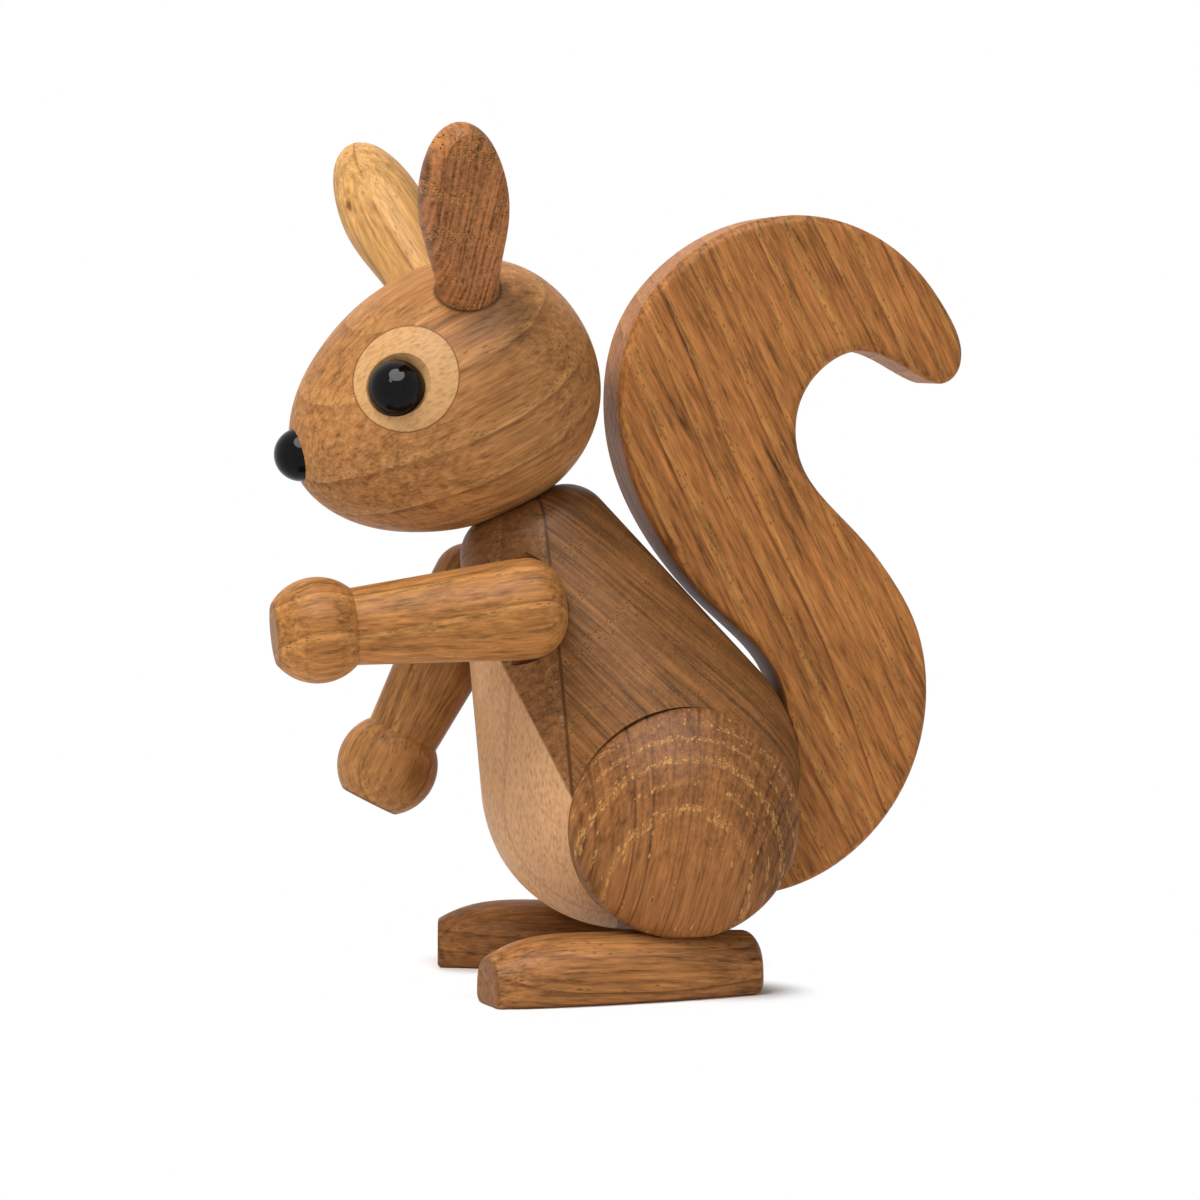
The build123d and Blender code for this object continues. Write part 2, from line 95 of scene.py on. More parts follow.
class Sheet:
    """A node tree that is filled in from left to right by short calls."""

    def __init__(self, tree):
        self.tree = tree

    def node(self, kind, **settings):
        """A new node with its settings."""
        made = self.tree.nodes.new(kind)
        for name, value in settings.items():
            setattr(made, name, value)
        return made

    def feed(self, socket, value):
        """Links an output to a socket, or sets a plain value on it."""
        if isinstance(value, bpy.types.NodeSocket):
            self.tree.links.new(value, socket)
        else:
            socket.default_value = value

    def math(self, operation, first, second=0.0, third=0.0):
        """One sum on one, two or three values."""
        made = self.node("ShaderNodeMath", operation=operation)
        for socket, value in zip(made.inputs, (first, second, third)):
            self.feed(socket, value)
        return made.outputs[0]

    def length(self, x, y):
        """Length of a flat arrow."""
        square = self.math("ADD", self.math("MULTIPLY", x, x), self.math("MULTIPLY", y, y))
        return self.math("SQRT", square)

    def scaled(self, vector, scale):
        """A vector that is scaled along each of its axes."""
        made = self.node("ShaderNodeVectorMath", operation="MULTIPLY")
        self.feed(made.inputs[0], vector)
        self.feed(made.inputs[1], scale)
        return made.outputs[0]

    def joined(self, x, y, z):
        """A vector from three values."""
        made = self.node("ShaderNodeCombineXYZ")
        for socket, value in zip(made.inputs, (x, y, z)):
            self.feed(socket, value)
        return made.outputs[0]

    def split(self, vector):
        """The three values of a vector."""
        made = self.node("ShaderNodeSeparateXYZ")
        self.feed(made.inputs[0], vector)
        return made.outputs

    def ramp(self, value, low, high, out_low=0.0, out_high=1.0):
        """A smooth step from out_low to out_high between two values."""
        made = self.node("ShaderNodeMapRange", interpolation_type="SMOOTHSTEP", clamp=True)
        for name, given in (
            ("Value", value),
            ("From Min", low),
            ("From Max", high),
            ("To Min", out_low),
            ("To Max", out_high),
        ):
            self.feed(made.inputs[name], given)
        return made.outputs["Result"]

    def fade(self, value, full, gone):
        """A smooth step down from one to nothing."""
        return self.ramp(value, full, gone, 1.0, 0.0)

    def noise(self, vector, scale=1.0, detail=2.0, roughness=0.5):
        """Soft unevenness from nothing to one."""
        made = self.node("ShaderNodeTexNoise", noise_dimensions="3D")
        self.feed(made.inputs["Vector"], vector)
        made.inputs["Scale"].default_value = scale
        made.inputs["Detail"].default_value = detail
        made.inputs["Roughness"].default_value = roughness
        return made.outputs["Fac"]

    def swing(self, noise):
        """Unevenness that swings to both sides of nothing."""
        return self.math("SUBTRACT", noise, 0.5)

    def scatter(self, made):
        """Distance to the nearest point of a scattered pattern, and that point's own random value."""
        made.inputs["Scale"].default_value = 1.0
        chance = self.node("ShaderNodeSeparateColor")
        self.feed(chance.inputs[0], made.outputs["Color"])
        return made.outputs["Distance"], chance.outputs[0]

    def cells(self, vector):
        """Points that are scattered through a block."""
        made = self.node("ShaderNodeTexVoronoi", voronoi_dimensions="3D", feature="F1")
        self.feed(made.inputs["Vector"], vector)
        return self.scatter(made)

    def ticks(self, value):
        """Uneven marks along a line."""
        made = self.node("ShaderNodeTexVoronoi", voronoi_dimensions="1D", feature="F1")
        self.feed(made.inputs["W"], value)
        return self.scatter(made)

    def mix(self, share, first, second, blend="MIX"):
        """Two colours, blended by a share of the second."""
        made = self.node("ShaderNodeMix", data_type="RGBA", blend_type=blend, clamp_factor=True)
        self.feed(made.inputs[0], share)
        self.feed(made.inputs[6], first)
        self.feed(made.inputs[7], second)
        return made.outputs[2]

    def shaded(self, colour, level):
        """A colour that is made lighter or darker by a level."""
        return self.mix(1.0, colour, self.joined(level, level, level), blend="MULTIPLY")

    def seen_rays(self):
        """One for rays that the camera sends straight, mirrored or through glass, and zero for the rest."""
        path = self.node("ShaderNodeLightPath").outputs
        seen = self.math("MAXIMUM", path["Is Camera Ray"], path["Is Glossy Ray"])
        return self.math("MAXIMUM", seen, path["Is Transmission Ray"])


def new_group(name, inputs):
    """A shader group for a kind of wood, with its sheet, its input sockets and its result."""
    tree = bpy.data.node_groups.new(name, "ShaderNodeTree")
    kinds = {"vector": "NodeSocketVector", "value": "NodeSocketFloat", "colour": "NodeSocketColor"}
    for socket, kind, preset in inputs:
        made = tree.interface.new_socket(socket, in_out="INPUT", socket_type=kinds[kind])
        if preset is not None:
            made.default_value = preset
    for socket, kind in (("Color", "colour"), ("Roughness", "value"), ("Height", "value")):
        tree.interface.new_socket(socket, in_out="OUTPUT", socket_type=kinds[kind])
    sheet = Sheet(tree)
    given = sheet.node("NodeGroupInput").outputs
    result = sheet.node("NodeGroupOutput").inputs
    return tree, sheet, given, result


def oak_board_group():
    """Ring-porous oak in millimetres: Z runs along the fibres and the pith is the Z axis."""
    tree, s, given, result = new_group("oak_board", [
        ("Place", "vector", None),
        ("Arc Radius", "value", 60.0),
        ("Ring Width", "value", 3.4),
        ("Ring Wander", "value", 5.0),
        ("First Year", "value", 0.0),
        ("Early Share", "value", 0.30),
        ("Band Strength", "value", 0.45),
        ("Line Strength", "value", 0.60),
        ("Line Share", "value", 0.20),
        ("Pore Length", "value", 1.6),
        ("Pore Strength", "value", 0.80),
        ("Glint Strength", "value", 0.40),
        ("Ray Strength", "value", 0.25),
        ("Soak And Shade Tone", "value", 0.0),
        ("Stripe Strength", "value", 0.20),
        ("Fibre Strength", "value", 0.40),
        ("Wood", "colour", rgb(168, 112, 60)),
        ("Early Wood", "colour", rgb(190, 136, 78)),
        ("Dark Line", "colour", rgb(120, 68, 32)),
        ("Pore", "colour", rgb(70, 42, 22)),
    ])
    place = given["Place"]
    x, y, z = s.split(place)
    radius = s.length(x, y)

    # Growth rings round the pith, uneven in width and wandering a little, with plain wood inside the first
    ripple_width = 0.9
    year_rate = 0.60
    year_drift = 0.9
    tone_inside = -2.5
    tone_outside = 1.5
    plain_year = -0.4
    wander = s.noise(s.scaled(place, OAK_WANDER), detail=1.0)
    ripple = s.noise(s.scaled(place, OAK_RIPPLE), detail=2.0)
    moved = s.math("MULTIPLY_ADD", s.swing(wander), given["Ring Wander"], radius)
    moved = s.math("MULTIPLY_ADD", s.swing(ripple), ripple_width, moved)
    year = s.math("DIVIDE", moved, given["Ring Width"])
    uneven = s.noise(s.joined(s.math("MULTIPLY", year, year_rate), 0.0, 0.0), detail=0.0)
    year = s.math("SUBTRACT", s.math("MULTIPLY_ADD", uneven, year_drift, year), given["First Year"])
    # A tone by ring, lighter inside the first ring and darker outside it; on the thighs it darkens the upper
    # half of the dome, partly as oil soaked into the end grain and partly as painted shade against the top
    # light.
    soak_and_shade = s.math("MULTIPLY", s.ramp(year, tone_inside, tone_outside, 1.0, -1.0), given["Soak And Shade Tone"])
    year = s.math("MAXIMUM", year, plain_year)
    season = s.math("FRACT", year)

    # Each year's own strength, its pale early wood and the broken dark line that ends it
    poor_year = 0.45
    early_full = 0.30
    line_full = 0.99
    harvest = s.node("ShaderNodeTexWhiteNoise", noise_dimensions="1D")
    s.feed(harvest.inputs["W"], s.math("FLOOR", year))
    weather = s.math("MULTIPLY_ADD", harvest.outputs["Value"], 1 - poor_year, poor_year)
    early_end = given["Early Share"]
    early = s.fade(season, s.math("MULTIPLY", early_end, early_full), early_end)
    broken = s.ramp(s.noise(s.scaled(place, OAK_BREAK), detail=1.0), 0.28, 0.58)
    line = s.ramp(season, s.math("SUBTRACT", 1.0, given["Line Share"]), line_full)
    line = s.math("MULTIPLY", line, s.math("MULTIPLY", broken, weather))

    # Open pores: long dashes along the fibres and round pits on the end grain, crowded in the early wood
    early_pores = 0.95
    late_pores = 0.03
    dark_pores = 0.60
    shifted = s.math("MULTIPLY_ADD", s.swing(ripple), PORE_SWAY, x)
    pore_gap, pore_chance = s.cells(s.joined(
        s.math("DIVIDE", shifted, PORE_WIDTH),
        s.math("DIVIDE", y, PORE_WIDTH),
        s.math("DIVIDE", z, given["Pore Length"]),
    ))
    patch = s.ramp(s.noise(s.scaled(place, OAK_PATCH), detail=1.0), 0.28, 0.54)
    crowd = s.math("MULTIPLY_ADD", s.math("MULTIPLY", early, weather), early_pores, late_pores)
    crowd = s.math("MULTIPLY", crowd, patch)
    open_pore = s.math("LESS_THAN", pore_chance, crowd)
    dark_pore = s.math("LESS_THAN", pore_chance, s.math("MULTIPLY", crowd, dark_pores))
    glint = s.math("MULTIPLY", s.fade(pore_gap, 0.34, 0.60), open_pore)
    pore = s.math("MULTIPLY", s.fade(pore_gap, 0.20, 0.42), dark_pore)
    pore = s.math("MULTIPLY", pore, given["Pore Strength"])

    # Rays: broad sheets that show as thin dark lines, and fine ones that show as stripes
    faint_ray = 0.3
    around = s.math("MULTIPLY", s.math("ARCTAN2", y, x), given["Arc Radius"])
    bent = s.math("MULTIPLY_ADD", wander, RAY_SWAY, around)
    ray_gap, ray_chance = s.ticks(s.math("DIVIDE", bent, RAY_SPACING))
    ray_length = s.ramp(s.noise(s.scaled(place, OAK_RAY), detail=1.0), 0.28, 0.46)
    ray_shade = s.math("MULTIPLY_ADD", ray_chance, 1 - faint_ray, faint_ray)
    ray = s.math("MULTIPLY", s.fade(ray_gap, 0.02, 0.10), s.math("MULTIPLY", ray_shade, ray_length))
    ray = s.math("MULTIPLY", ray, given["Ray Strength"])
    stripe_place = s.joined(
        s.math("DIVIDE", around, STRIPE_WIDTH),
        s.math("DIVIDE", z, STRIPE_LENGTH),
        s.math("DIVIDE", radius, STRIPE_DEPTH),
    )
    stripe = s.swing(s.noise(stripe_place, detail=1.5, roughness=0.6))
    stripe = s.math("MULTIPLY", stripe, given["Stripe Strength"])

    # Fine fibres, broader streaks and slow changes of shade
    streak_weight = 1.9
    fibre_weight = 1.7
    stripe_weight = 2.4
    shade_weight = 0.55
    fibre = s.noise(s.scaled(place, OAK_FIBRE), detail=3.0, roughness=0.65)
    streak = s.noise(s.scaled(place, OAK_STREAK), detail=3.0, roughness=0.60)
    shade = s.noise(s.scaled(place, OAK_SHADE), detail=2.0)
    grain = s.math("MULTIPLY", s.swing(streak), streak_weight)
    grain = s.math("MULTIPLY_ADD", s.swing(fibre), fibre_weight, grain)
    level = s.math("MULTIPLY_ADD", grain, given["Fibre Strength"], 1.0)
    level = s.math("MULTIPLY_ADD", stripe, stripe_weight, s.math("ADD", level, soak_and_shade))
    level = s.math("MULTIPLY_ADD", s.swing(shade), shade_weight, level)

    band = s.math("MULTIPLY", early, s.math("MULTIPLY", weather, given["Band Strength"]))
    colour = s.mix(band, given["Wood"], given["Early Wood"])
    colour = s.mix(s.math("MULTIPLY", line, given["Line Strength"]), colour, given["Dark Line"])
    colour = s.mix(ray, colour, given["Dark Line"])
    colour = s.shaded(colour, level)
    # Pale rims round the open pores, in the early wood's colour, are a painted glint.
    colour = s.mix(s.math("MULTIPLY", glint, given["Glint Strength"]), colour, given["Early Wood"])
    colour = s.mix(pore, colour, given["Pore"])

    # Open pores are rough pits, and the fibres stand a little proud
    oak_rough = 0.46
    pore_rough = 0.25
    fibre_rough = 0.20
    pore_drop = -1.0
    fibre_rise = 0.35
    rough = s.math("MULTIPLY_ADD", pore, pore_rough, oak_rough)
    rough = s.math("MULTIPLY_ADD", s.swing(fibre), fibre_rough, rough)
    height = s.math("MULTIPLY_ADD", pore, pore_drop, s.math("MULTIPLY", fibre, fibre_rise))
    s.feed(result["Color"], colour)
    s.feed(result["Roughness"], rough)
    s.feed(result["Height"], height)
    return tree


def maple_board_group():
    """Close-grained maple in millimetres: Z runs along the fibres and the pith is the Z axis."""
    tree, s, given, result = new_group("maple_board", [
        ("Place", "vector", None),
        ("Arc Radius", "value", 60.0),
        ("Ring Width", "value", 4.0),
        ("Line Strength", "value", 0.35),
        ("Fleck Strength", "value", 0.5),
        ("Wood", "colour", rgb(214, 178, 138)),
        ("Fleck", "colour", rgb(178, 128, 88)),
        ("Ring Line", "colour", rgb(188, 140, 98)),
    ])
    place = given["Place"]
    x, y, z = s.split(place)

    # Thin lines at the ends of the years
    ring_wander = 6.0
    wander = s.noise(s.scaled(place, MAPLE_WANDER), detail=2.0)
    radius = s.math("MULTIPLY_ADD", wander, ring_wander, s.length(x, y))
    season = s.math("FRACT", s.math("DIVIDE", radius, given["Ring Width"]))
    line = s.math("MULTIPLY", s.ramp(season, 0.88, 0.97), s.fade(season, 0.97, 1.0))

    # Short ray flecks, a few tenths of a millimetre wide, in rows that waver along the fibres
    faint_fleck = 0.4
    sway = s.noise(s.scaled(place, MAPLE_SWAY), detail=1.0)
    around = s.math("MULTIPLY", s.math("ARCTAN2", y, x), given["Arc Radius"])
    around = s.math("MULTIPLY_ADD", sway, FLECK_SWAY, around)
    fleck_gap, fleck_chance = s.cells(s.joined(
        s.math("DIVIDE", around, FLECK_WIDTH),
        s.math("DIVIDE", z, FLECK_LENGTH),
        s.math("DIVIDE", radius, FLECK_DEPTH),
    ))
    fleck_shade = s.math("MULTIPLY_ADD", fleck_chance, 1 - faint_fleck, faint_fleck)
    fleck = s.math("MULTIPLY", s.fade(fleck_gap, 0.15, 0.70), fleck_shade)
    fleck = s.math("MULTIPLY", fleck, given["Fleck Strength"])

    # Fine fibres and slow changes of shade
    fibre_weight = 0.32
    shade_weight = 0.30
    fibre = s.noise(s.scaled(place, MAPLE_FIBRE), detail=3.0, roughness=0.6)
    shade = s.noise(s.scaled(place, MAPLE_SHADE), detail=2.0)
    level = s.math("MULTIPLY_ADD", s.swing(fibre), fibre_weight, 1.0)
    level = s.math("MULTIPLY", level, s.math("MULTIPLY_ADD", s.swing(shade), shade_weight, 1.0))
    colour = s.mix(s.math("MULTIPLY", line, given["Line Strength"]), given["Wood"], given["Ring Line"])
    colour = s.shaded(s.mix(fleck, colour, given["Fleck"]), level)

    maple_rough = 0.38
    fibre_rough = 0.18
    fleck_drop = -0.35
    fibre_rise = 0.3
    s.feed(result["Color"], colour)
    s.feed(result["Roughness"], s.math("MULTIPLY_ADD", fibre, fibre_rough, maple_rough))
    raised = s.math("MULTIPLY", fibre, fibre_rise)
    s.feed(result["Height"], s.math("MULTIPLY_ADD", fleck, fleck_drop, raised))
    return tree


OAK_BOARD = oak_board_group()
MAPLE_BOARD = maple_board_group()


def turn_towards(along, out):
    """Euler turn of a frame whose Z runs along one direction and whose X points out across another."""
    z_axis = Vector(along).normalized()
    x_axis = Vector(out)
    x_axis = (x_axis - z_axis * x_axis.dot(z_axis)).normalized()
    return Matrix((x_axis, z_axis.cross(x_axis), z_axis)).transposed().to_euler()


def seen_from(sheet, spot, middle, turn):
    """Object coordinates in millimetres, measured from a place and turned with it."""
    made = sheet.node("ShaderNodeMapping", vector_type="TEXTURE")
    made.inputs["Location"].default_value = Vector(middle) * MM
    made.inputs["Rotation"].default_value = turn
    made.inputs["Scale"].default_value = (MM, MM, MM)
    sheet.feed(made.inputs["Vector"], spot)
    return made.outputs[0]


def ring_mark(sheet, spot, middle, along, inner, outer, soft):
    """A soft ring on the skin round an axis, between two radii in millimetres."""
    x, y, z = sheet.split(seen_from(sheet, spot, middle, turn_towards(along, SIDEWAYS)))
    away = sheet.length(x, y)
    near_skin = sheet.ramp(z, -8.0, -6.0)
    inside = sheet.math("MULTIPLY", sheet.ramp(away, inner - soft, inner), near_skin)
    return sheet.math("MULTIPLY", inside, sheet.fade(away, outer, outer + soft))


def flat_mark(sheet, spot, middle, normal, reach):
    """A tone on one flat of a piece, such as a glue joint or a sawn end, that fades within a reach of it."""
    z = sheet.split(seen_from(sheet, spot, middle, turn_towards(normal, SIDEWAYS)))[2]
    full_share = 0.35
    return sheet.fade(sheet.math("ABSOLUTE", z), reach * full_share, reach)


def spot_mark(sheet, spot, middle, along, size):
    """A small knot, longer along the fibres, with a ragged edge."""
    narrowing = 0.55
    ragged_width = 0.9
    near = seen_from(sheet, spot, middle, turn_towards(along, SIDEWAYS))
    ragged = sheet.noise(near, scale=1.4, detail=2.0)
    x, y, z = sheet.split(sheet.scaled(near, (1.0 / size, 1.0 / size, narrowing / size)))
    square = sheet.math("MULTIPLY_ADD", y, y, sheet.math("MULTIPLY", z, z))
    away = sheet.math("SQRT", sheet.math("MULTIPLY_ADD", x, x, square))
    away = sheet.math("MULTIPLY_ADD", sheet.swing(ragged), ragged_width, away)
    return sheet.fade(away, 0.35, 1.0)


def new_finish(name):
    """A new material, with its sheet and its main shader."""
    material = bpy.data.materials.new(name)
    material.use_nodes = True
    return material, Sheet(material.node_tree), material.node_tree.nodes["Principled BSDF"]


def wood(name, group, middle, fibres, rings, pith, relief, values, marks=()):
    """A wooden finish: a board cut from a log whose pith lies a distance inwards from the piece's middle."""
    material, sheet, shader = new_finish(name)
    along = Vector(fibres).normalized()
    out = Vector(rings)
    out = (out - along * out.dot(along)).normalized()
    spot = sheet.node("ShaderNodeTexCoord").outputs["Object"]
    board = sheet.node("ShaderNodeGroup", node_tree=group)
    log = seen_from(sheet, spot, Vector(middle) - out * pith, turn_towards(fibres, rings))
    sheet.feed(board.inputs["Place"], log)
    board.inputs["Arc Radius"].default_value = pith
    for socket, value in values.items():
        board.inputs[socket].default_value = value
    colour = board.outputs["Color"]
    for mark, given, strength, tone in marks:
        share = sheet.math("MULTIPLY", mark(sheet, spot, *given), strength)
        colour = sheet.mix(share, colour, tone)
    bump = sheet.node("ShaderNodeBump")
    bump.inputs["Strength"].default_value = relief
    bump.inputs["Distance"].default_value = GRAIN_DEPTH
    sheet.feed(bump.inputs["Height"], board.outputs["Height"])
    sheet.feed(shader.inputs["Base Color"], colour)
    sheet.feed(shader.inputs["Roughness"], board.outputs["Roughness"])
    sheet.feed(shader.inputs["Normal"], bump.outputs["Normal"])
    shader.inputs["IOR"].default_value = WOOD_IOR
    shader.inputs["Specular IOR Level"].default_value = WOOD_SHEEN
    return material


def black_bead():
    """Glossy black beads with a trace of dust in the polish."""
    material, sheet, shader = new_finish("black_bead")
    spot = sheet.node("ShaderNodeTexCoord").outputs["Object"]
    dust = sheet.noise(sheet.scaled(spot, (BEAD_DUST_PER_METRE,) * 3), detail=3.0)
    tone = sheet.mix(sheet.ramp(dust, 0.45, 0.75), rgb(4, 4, 4), rgb(11, 10, 10))
    polished = 0.04
    dusty = 0.12
    sheet.feed(shader.inputs["Base Color"], tone)
    sheet.feed(shader.inputs["Roughness"], sheet.ramp(dust, 0.35, 0.80, polished, dusty))
    shader.inputs["IOR"].default_value = BEAD_IOR
    shader.inputs["Specular IOR Level"].default_value = BEAD_SHEEN
    return material


# Glue joints that show as thin dark seams, and sockets: a middle and a direction, in mm
LEFT_EYE = ((16.605, -32.929, 89.266), (0.9029, -0.3252, 0.2813))
RIGHT_EYE = ((-13.576, -36.343, 89.009), (-0.8120, -0.5192, 0.2667))
LEFT_EAR = ((11.428, -22.971, 101.423), (0.6373, -0.1463, 0.7566))
RIGHT_EAR = ((-10.958, -25.503, 101.233), (-0.6012, -0.2863, 0.7461))
CHEST_JOINT = ((0.0, -9.35, 29.7), (0.0, -0.9982, -0.0593))
BELLY_JOINT = ((0.0, -7.10, 24.35), (0.0, -0.9121, -0.4099))
DISC_RIM_RADIUS = 7.75
DISC_RIM_BEYOND = 9.0
DISC_RIM_SOFT = 0.22
# Round the foot of each ear, in its socket, a thin ring of painted shade.
EAR_SHADE_RADIUS = 4.7
EAR_SHADE_SOFT = 0.5
SEAM_AND_SHADE = rgb(58, 36, 20)
DISC_RIM = rgb(110, 68, 36)

# Sawn ends of the hands and feet, where the oil soaks in and darkens the open fibres, in mm
# The far hand's sawn end is marked more strongly: the extra darkness is painted shade.
LEFT_HAND = ((17.0, -51.766, 52.933), (0.0, -0.9960, -0.0889))
RIGHT_HAND = ((-17.0, -33.332, 25.398), (0.0, -0.4617, -0.8870))
LEFT_TOE = ((21.568, -22.138, 2.968), (0.1736, -0.9848, 0.0))
RIGHT_TOE = ((-21.568, -22.138, 2.968), (-0.1736, -0.9848, 0.0))
LEFT_HEEL = ((14.431, 18.338, 4.121), (-0.1736, 0.9848, 0.0))
RIGHT_HEEL = ((-14.431, 18.338, 4.121), (0.1736, 0.9848, 0.0))
END_REACH = 0.5
END_GRAIN_AND_SHADE = rgb(84, 50, 24)

